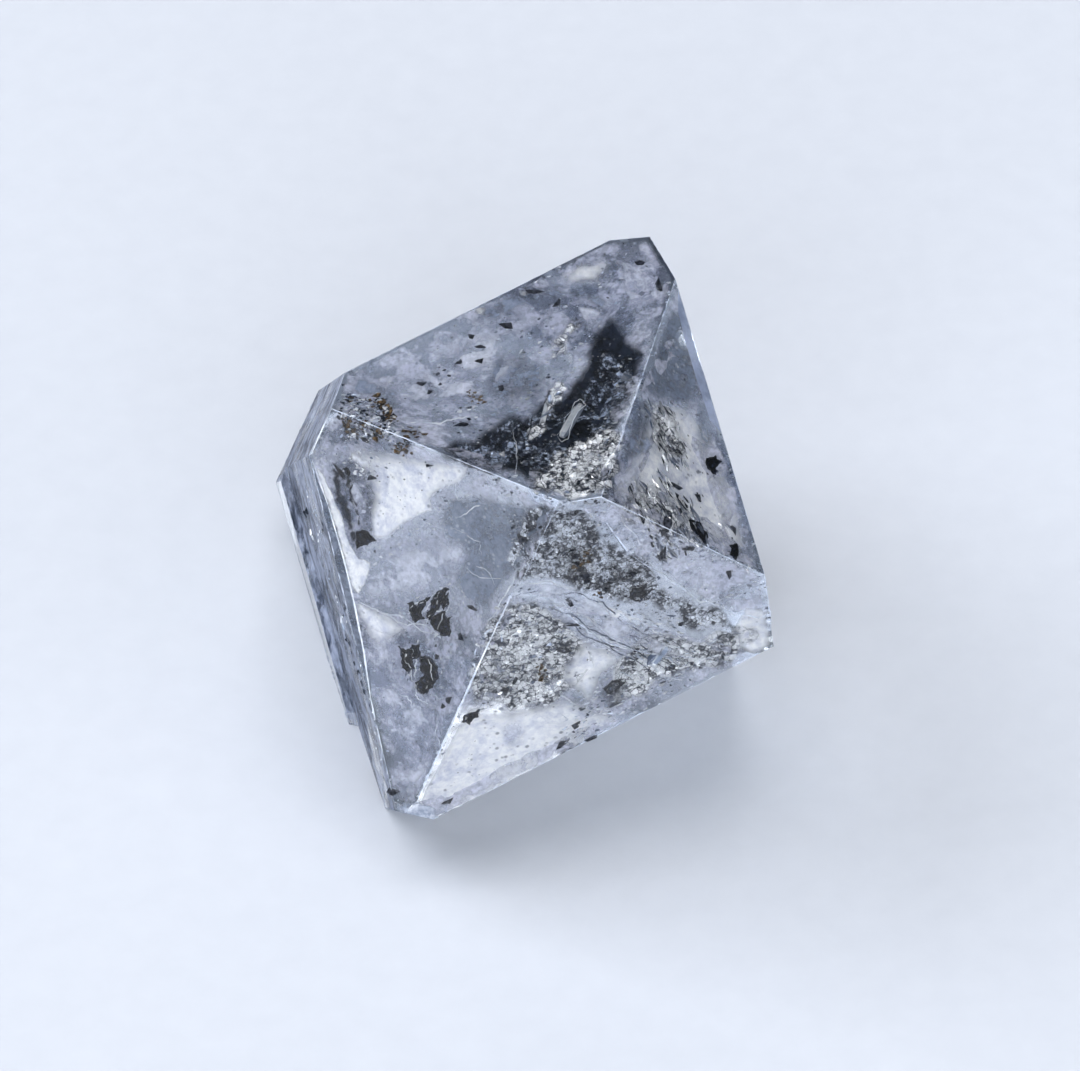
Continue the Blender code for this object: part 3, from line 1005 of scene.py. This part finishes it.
def add_crumbs():
    dark = speck_finish("dark crumb", (0.002, 0.003, 0.005), (0.045, 0.048, 0.062))
    add_grains("dark_crumbs", dark, [
        (at(480, 466, 486, 462, 478, 474, 483, 486, 480, 495, 477, 501, 504, 512),
            (0.1, 0.2), (1, 2), 1.3, 0),
        ([at(505, 512, 535, 516, 534, 545, 518, 556, 508, 540), 26], (0.1, 0.4), (0.8, 2.4), 1.5, 20),
        (at(572, 550, 574, 557, 578, 562, 581, 569, 584, 575, 587, 581, 592, 584, 597, 588, 600, 594,
            609, 583, 607, 589, 575, 579, 615, 567, 588, 588, 633, 572, 645, 586, 638, 595, 513, 527,
            520, 536, 524, 539, 529, 526, 540, 526, 577, 512, 583, 514), (0.03, 0.06), (3.5, 7.5), 1.2, 40),
        *strewn(
            (0.05, 0.16),
            (at(470, 655, 500, 600, 560, 620, 590, 660, 560, 700, 480, 704), 150, 0.7, 2.4, 1.6, 0),
            (at(530, 512, 600, 510, 650, 572, 740, 630, 690, 630, 600, 594, 530, 575),
                220, 0.7, 2.2, 1.6, 30),
            (at(618, 574, 652, 580, 648, 604, 622, 598), 40, 0.7, 3.2, 1.5, 0),
            (at(600, 610, 690, 650, 740, 640, 700, 680, 600, 720, 560, 745, 600, 690), 90, 0.7, 3, 2, -25),
            (at(342, 394, 392, 405, 396, 440, 345, 440, 338, 415), 130, 0.7, 5, 1.4, -10),
            (at(648, 400, 676, 412, 690, 470, 664, 470), 60, 0.7, 8, 4, -65),
            (at(625, 490, 660, 475, 690, 500, 714, 545, 660, 560), 150, 0.7, 9, 3.6, -62),
            (at(345, 400, 480, 320, 560, 290, 560, 380, 470, 425), 60, 0.7, 1.5, 1.4, 0),
            (at(380, 560, 470, 640, 450, 700, 400, 780, 370, 650), 50, 0.7, 1.3, 1.3, 0),
            (at(330, 440, 460, 470, 460, 500, 350, 520), 50, 0.7, 1.5, 1.3, 0),
            (at(460, 730, 560, 705, 520, 760, 440, 790), 12, 0.7, 1.6, 1.5, 20),
            (at(640, 250, 700, 380, 750, 560, 700, 520, 660, 300), 26, 0.7, 2.4, 1.6, -60),
        ),
        *spots(
            (420, 384, 5.5, 1.5, 20), (429, 392, 3.5, 1.2, 40), (438, 374, 2.2, 1.2, 0),
            (444, 370, 1.8, 1.2, 0), (449, 376, 1.8, 1.2, 0), (440, 384, 1.8, 1, 0),
            (471, 336, 4, 1.5, -20), (480, 346, 5, 1.5, -15), (458, 362, 4, 1.3, 60),
            (480, 361, 5, 1.4, 20), (502, 388, 3.6, 1.1, 0), (506, 325, 8, 2.2, -12),
            (460, 425, 6.5, 2.2, 10), (469, 407, 2.6, 1.2, 0), (469, 419, 2.2, 1.2, 0),
            (535, 291, 8, 2.4, -8), (556, 303, 5, 1.5, 50), (640, 262, 4, 1.1, 0), (660, 286, 9, 2.6, 80),
            (462, 637, 4.5, 1.1, 70), (472, 607, 5, 1.5, -20), (450, 700, 5, 1.6, 30),
            (443, 706, 3.5, 1.3, 0), (436, 657, 4, 2, 60), (636, 650, 3.2, 1, 0), (563, 650, 7, 1.8, -10),
            (515, 680, 6, 2.2, 60), (504, 690, 5, 1.8, 10), (571, 603, 8, 2.6, -35),
            (575, 625, 7, 3.2, -20), (614, 705, 7, 1.8, 40), (578, 724, 7, 2, 50), (590, 738, 6, 1.3, 30),
            (560, 745, 8, 2.4, 25), (448, 803, 7, 2.4, 32), (307, 508, 7, 2.4, -70),
            (698, 497, 5, 1.5, -40), (734, 530, 5, 1.5, -40), (729, 575, 7, 2.6, -80),
            (676, 486, 7, 1.8, -30), (667, 526, 9, 2, -80), (688, 548, 6, 1.6, -20), (705, 648, 5, 1.4, 20),
            (683, 624, 4.5, 1.4, 30), (715, 622, 4, 1.3, 50), (338, 470, 9, 3, -75),
            (332, 500, 3.5, 1.3, 0), (372, 479, 4.5, 1.2, 50), (430, 465, 5, 1.6, 10),
            (394, 790, 8, 1.5, 20),
        ),
    ], 5)
    ochre = speck_finish("iron stain", (0.008, 0.006, 0.004), (0.15, 0.1, 0.055), 0.05)
    stains = (
        (353, 398, 6, 2, 0), (375, 401, 9, 1.2, 20), (383, 404, 7, 1.2, -20), (389, 414, 9, 1.2, 60),
        (394, 419, 5, 1.3, 0), (349, 427, 8, 1.2, 50), (353, 432, 6, 1.2, 0), (345, 420, 4, 1.3, 0),
        (378, 435, 7, 1.3, -30), (364, 426, 6, 1.5, 10), (409, 432, 8, 2, 5), (419, 432, 8, 2.2, 5),
        (399, 447, 7, 1.2, 0), (406, 451, 8, 1.3, -20), (403, 444, 5, 1.2, 0), (474, 397, 7, 1.2, 0),
        (480, 400, 6, 1.2, 40), (470, 393, 4, 1.2, 0), (584, 560, 7, 1.2, 30), (588, 553, 5, 1.2, 0),
        (577, 568, 5, 1.2, 0), (597, 596, 5, 1.2, 0), (541, 668, 6, 1.2, 70), (543, 675, 6, 1.2, 70),
    )
    add_grains("iron_stains", ochre, [
        ([(x, y), (x + size * 0.7, y + 2), (x - size * 0.6, y - 1), (x + 1, y - size * 0.6),
          (x - 2, y + size * 0.6)], (0.03, 0.07), (size * 0.32, size * 0.78), stretch, lean)
        for x, y, size, stretch, lean in stains
    ], 6)


def add_strip_marks():
    """Crumbs and bright chips stuck in the striped skin."""
    strip = at(304, 486, 312, 478, 336, 570, 368, 690, 392, 790, 386, 786, 364, 706, 326, 570)
    on_it = (0, 0)
    black = speck_finish("black crumb", (0.002, 0.003, 0.005), (0.05, 0.06, 0.08))
    add_grains("strip_crumbs", black, [
        (at(350, 644, 352, 654, 355, 663, 359, 672, 362, 682, 365, 692, 347, 640),
            on_it, (3.5, 5), 1.8, -75),
        (at(307, 508, 306, 514), on_it, (6, 7), 2, -70),
        *strewn(on_it, (strip, 60, 0.6, 3.5, 2.6, -75)),
    ], 13)
    # bright chips whose tones are painted glints
    chip = pocket_glint_finish("bright chip", (0.4, 0.48, 0.62), (1, 1, 1), 0.1)
    add_grains("strip_chips", chip, [
        (at(342, 620, 344, 627, 311, 530, 313, 536), on_it, (5, 6.5), 2.6, -75),
        *strewn(on_it, (strip, 60, 0.6, 3, 3, -75)),
    ], 14)


def add_glints():
    """The finest pockets, strewn through the whole crystal under its faces, their tones painted glints and
    painted shade.
    """
    white = pocket_glint_finish("white glint", (0.55, 0.62, 0.76), (1, 1, 1), 0.2)
    black = pocket_glint_finish("dark glint", (0.005, 0.008, 0.015), (0.1, 0.13, 0.19), 0.2)
    # How many lie under the face that shows at each of these points.
    counts = {(480, 350): 1100, (700, 450): 700, (420, 560): 1100, (600, 640): 1000, (690, 560): 700}
    shallow = (0.03, 0.1)
    for finish, share, most, seed in ((white, 0.7, 4, 21), (black, 0.3, 3, 22)):
        faces = [
            (face_outline(*place), int(count * share), 0.5, most, 1.5, 20)
            for place, count in counts.items()
        ]
        add_grains(finish.name.replace(" ", "_") + "s", finish, [
            *strewn((0.42, 0.8), *faces),
            *strewn(
                shallow,
                (at(342, 392, 392, 400, 400, 444, 340, 444), round(200 * share), 1, 4, 1.6, 20),
                (at(560, 600, 640, 610, 740, 640, 700, 670, 600, 660), round(260 * share), 0.8, 4, 3, -30),
                (at(600, 690, 700, 660, 600, 730, 560, 745, 560, 720),
                    round(160 * share), 0.8, 4.5, 2.4, 30),
            ),
        ], seed)


def add_deep():
    """What lies deep in the crystal and shows from behind and from the sides."""
    wisp = veil_finish("healed crack", (0.92, 0.95, 1), (0.45, 0.52, 0.66), 0, 0.75, 0.8, (0.46, 0.6), 1)
    # Each: centre in mm, the heading and rise that it faces, and half-lengths in mm.
    veils = {
        "veil_back": ((0.5, 4.2, 7.5), (20, 15), (3.6, 2.6)),
        "veil_low": ((-1, 3, 3.2), (-40, 60), (3, 3.4)),
        "veil_right": ((3, 1.5, 5), (100, 20), (3, 2.4)),
        "veil_middle": ((0, 0.5, 6), (-20, 35), (3.2, 3)),
        "veil_left": ((-3, 2, 7), (-80, 5), (3.2, 2.4)),
    }
    for seed, (name, veil) in enumerate(veils.items(), 90):
        add_veil(name, *veil, wisp, seed)
    # the strewn pockets' tones are painted glints and painted shade
    add_strewn("strewn_pockets", pocket_glint_finish("deep pocket", (0.35, 0.42, 0.55), (1, 1, 1)), 900,
               (0.012, 0.07), 95)
    add_strewn("strewn_crumbs", black_finish(), 160, (0.02, 0.14), 96)


def add_pockets():
    # Pockets and hollow rods whose tones are painted glints and painted shade.
    bright = pocket_glint_finish("bright pocket", (0.12, 0.15, 0.22), (1, 1, 1))
    add_grains("bright_pockets", bright, [
        *strewn(
            (0.05, 0.18),
            (at(530, 490, 548, 466, 566, 456, 594, 452, 616, 462, 608, 494, 560, 496), 150, 1, 4, 1.4, 20),
            (at(570, 440, 622, 400, 626, 440, 614, 466, 585, 460), 60, 1, 3.5, 2, 20),
            (at(440, 445, 520, 420, 560, 440, 540, 480, 500, 470), 50, 0.6, 1.6, 1.3, 0),
            (at(590, 350, 630, 350, 640, 380, 600, 400), 22, 0.8, 2.4, 1.2, 0),
            (at(644, 400, 676, 412, 690, 470, 664, 470), 110, 3, 11, 4, -65),
            (at(625, 490, 660, 470, 690, 500, 712, 545, 660, 560), 190, 3, 11, 4, -62),
            (at(700, 420, 716, 420, 760, 590, 730, 600), 26, 2, 6, 2, -62),
            (at(524, 512, 600, 508, 650, 572, 740, 626, 690, 632, 600, 592, 524, 575),
                420, 0.8, 2.6, 1.4, 10),
            (at(470, 655, 500, 600, 556, 612, 590, 650, 560, 700, 480, 704), 420, 1, 4.2, 1.2, 0),
            (at(342, 460, 356, 456, 374, 470, 366, 478, 350, 474), 24, 2, 5, 1.6, 20),
            (at(400, 600, 450, 588, 446, 636, 424, 624), 34, 1, 5, 3.6, 50),
            (at(398, 650, 430, 655, 442, 690, 410, 690), 34, 1, 5, 3, 60),
            (at(620, 596, 676, 616, 690, 640, 640, 626), 50, 2, 7, 4, -32),
            (at(640, 640, 700, 650, 750, 630, 740, 650, 660, 690), 90, 1, 4, 1.8, 30),
            (at(342, 396, 395, 410, 395, 436, 345, 440), 150, 1, 4.5, 2, -20),
            (at(330, 450, 372, 452, 390, 470, 360, 480), 40, 1, 4, 1.8, -20),
            (at(505, 512, 535, 516, 534, 545, 518, 556, 508, 540), 60, 0.8, 2, 1.4, 0),
            (at(400, 640, 440, 640, 446, 700, 420, 706, 400, 690), 40, 1, 3.5, 3, 60),
            (at(436, 590, 446, 592, 436, 625, 428, 625), 12, 1.5, 5, 4, 55),
            (at(300, 480, 312, 480, 372, 740, 362, 740), 40, 1, 5, 3, -75),
        ),
        *spots(
            (482, 312, 6, 1.3, 0), (522, 294, 5, 1.3, 20), (505, 454, 6.5, 2, 10), (628, 377, 7, 1.3, 20),
            (602, 355, 2.6, 1.1, 0), (610, 345, 2.2, 1.8, 60), (556, 396, 6, 3, 60), (550, 404, 8, 3, 65),
            (546, 414, 8, 3, 60), (541, 424, 7, 3, 65), (528, 432, 7, 4, 50), (612, 616, 7, 2, 20),
            (342, 616, 9, 2.2, -72), (640, 293, 4, 1.3, 0), (735, 632, 6, 1.3, 40), (656, 655, 11, 2.6, 55),
        ),
    ], 7)
    pale = pocket_glint_finish("hollow rod", (0.2, 0.24, 0.32), (0.96, 0.98, 1))
    add_rods("hollow_rods", pale)


def add_rods(name, material):
    """Hollow rods with six sides: both ends in the view, half-width in view steps, depth in mm."""
    sides = 6
    points, faces = [], []
    for tip, tail, half, depth in (
        ((562, 437), (581, 404), 5, 0.14), ((549, 398), (541, 428), 3, 0.14),
        ((652, 664), (666, 646), 5, 0.05), ((700, 600), (706, 588), 3, 0.12),
    ):
        start, end = inside(*tip, depth), inside(*tail, depth)
        along = (end - start).normalized()
        side = along.cross(TURN.col[2]).normalized()
        front = side.cross(along)
        first = len(points)
        for how_far, share in ((0, 0.6), (0.12, 1), (0.88, 1), (1, 0.6)):
            centre = start.lerp(end, how_far)
            for corner in range(sides):
                turn = math.radians(60 * corner + 20)
                out = side * math.cos(turn) + front * 0.6 * math.sin(turn)
                points.append(centre + out * half * PX * share)
        last = len(points) - sides
        for ring in range(first, last, sides):
            for i in range(sides):
                after = (i + 1) % sides
                faces.append((ring + i, ring + after, ring + after + sides, ring + i + sides))
        faces += [range(first + sides - 1, first - 1, -1), range(last, last + sides)]
    # a tone for each face, so the rods' sides show painted light and shade
    tones = [(i * 0.37) % 1 for i in range(len(faces))]
    add_piece(name, points, [tuple(face) for face in faces], material, tones=tones)


def add_seams():
    seam = seam_and_highlight_finish()
    shell = at(514, 586, 552, 582, 586, 592, 618, 612, 654, 632, 694, 652)
    count, left, down = 10, 1.5, 3.5  # left and down in the view from each band to the next
    bands = [[(x - left * i, y + down * i) for x, y in shell[i % 3:]] for i in range(count)]
    add_threads("shell_bands", seam, bands[::2], 1.1, 0.07, 12)
    # Dark lines between the bright bands: painted shade.
    shade = speck_finish("dark seam shade", (0.01, 0.015, 0.03), (0.12, 0.14, 0.2))
    add_threads("shell_gaps", shade, bands[1::2], 0.6, 0.07, 15)
    # Bright lines along the crystal's edges, on its faces: painted highlights.
    add_threads("edge_lines", seam, [
        at(342, 378, 331, 409, 311, 455),
        at(312, 459, 328, 505, 343, 556, 355, 606, 364, 652, 371, 700, 380, 740, 392, 792),
        at(512, 594, 480, 662, 448, 732, 418, 800),
    ], 0.7, 0, 16, 0.004)
    # White slashes over the black flakes: painted glints.
    add_threads("flake_glints", seam, [
        at(408, 613, 420, 603, 433, 595), at(413, 623, 428, 606, 446, 589),
        at(424, 627, 436, 611, 448, 596), at(436, 634, 442, 619, 449, 604),
        at(402, 652, 411, 668, 419, 690), at(411, 646, 417, 661, 416, 680),
        at(424, 658, 431, 668, 434, 684), at(416, 688, 421, 700, 428, 706),
        at(398, 690, 408, 697, 412, 708), at(430, 692, 438, 700, 444, 698),
    ], 0.45, 0.05, 18, 0.25)
    add_threads("healed_seams", seam, [
        at(357, 607, 380, 612, 418, 624, 438, 634),
        at(545, 690, 566, 698, 590, 709),
        at(604, 538, 640, 566, 700, 602, 735, 616),
        at(560, 590, 600, 606, 650, 636, 690, 656),
        at(460, 470, 458, 500, 470, 494, 480, 505, 466, 514, 455, 518),
        at(405, 424, 440, 424, 470, 416),
        at(640, 655, 600, 640, 588, 626),
        at(655, 640, 664, 660),
        at(540, 594, 580, 612, 640, 650),
        at(600, 480, 622, 520, 650, 556),
        at(354, 601, 396, 615, 440, 634),
        at(527, 563, 508, 590, 484, 632),
        at(603, 661, 630, 676, 652, 690),
    ], 0.6, 0.1, 8)
    add_threads("fine_seams", seam, [
        at(452, 528, 465, 533, 480, 542, 482, 556),
        at(466, 568, 485, 578, 510, 582),
        at(476, 566, 490, 574, 496, 586),
        at(540, 716, 548, 723, 558, 724, 568, 719, 560, 713, 546, 714),
        at(438, 715, 440, 750),
        at(512, 430, 516, 455, 514, 478),
        at(530, 560, 512, 584),
        at(557, 435, 575, 402, 580, 399, 586, 405, 568, 439, 562, 442, 557, 435),
    ], 0.35, 0.08, 17)


def main():
    add_camera()
    add_studio()
    add_floor()
    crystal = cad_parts["crystal"]
    crystal.data.materials.clear()
    crystal.data.materials.append(quartz())
    edge = frost_finish("worn edge", (0.42, 0.48, 0.62), (0.74, 0.78, 0.88))
    # The tip's frost is a darker copy of the edges' frost, painted down to hold back how bright the tip
    # shows: painted shade.
    tip = frost_finish("chipped tip", (0.16, 0.19, 0.26), (0.46, 0.5, 0.6))
    add_worn_edges("worn_edges", edge, 9)
    add_skin("chipped_tip", small_faces(at(398, 792, 448, 792, 448, 830, 398, 830)), tip)
    add_skin("striped_skin_high", face_seen(300, 440), skin_finish("striped skin, high", 66))
    rim = at(270, 460, 300, 470, 330, 560, 368, 690, 398, 800, 380, 815, 350, 740, 270, 500)
    low = face_seen(345, 640) | small_faces(rim)
    add_skin("striped_skin_low", low, skin_finish("striped skin, low", -76))
    add_hazes()
    add_films()
    add_flakes()
    add_crumbs()
    add_pockets()
    add_glints()
    add_strip_marks()
    add_deep()
    add_seams()


main()
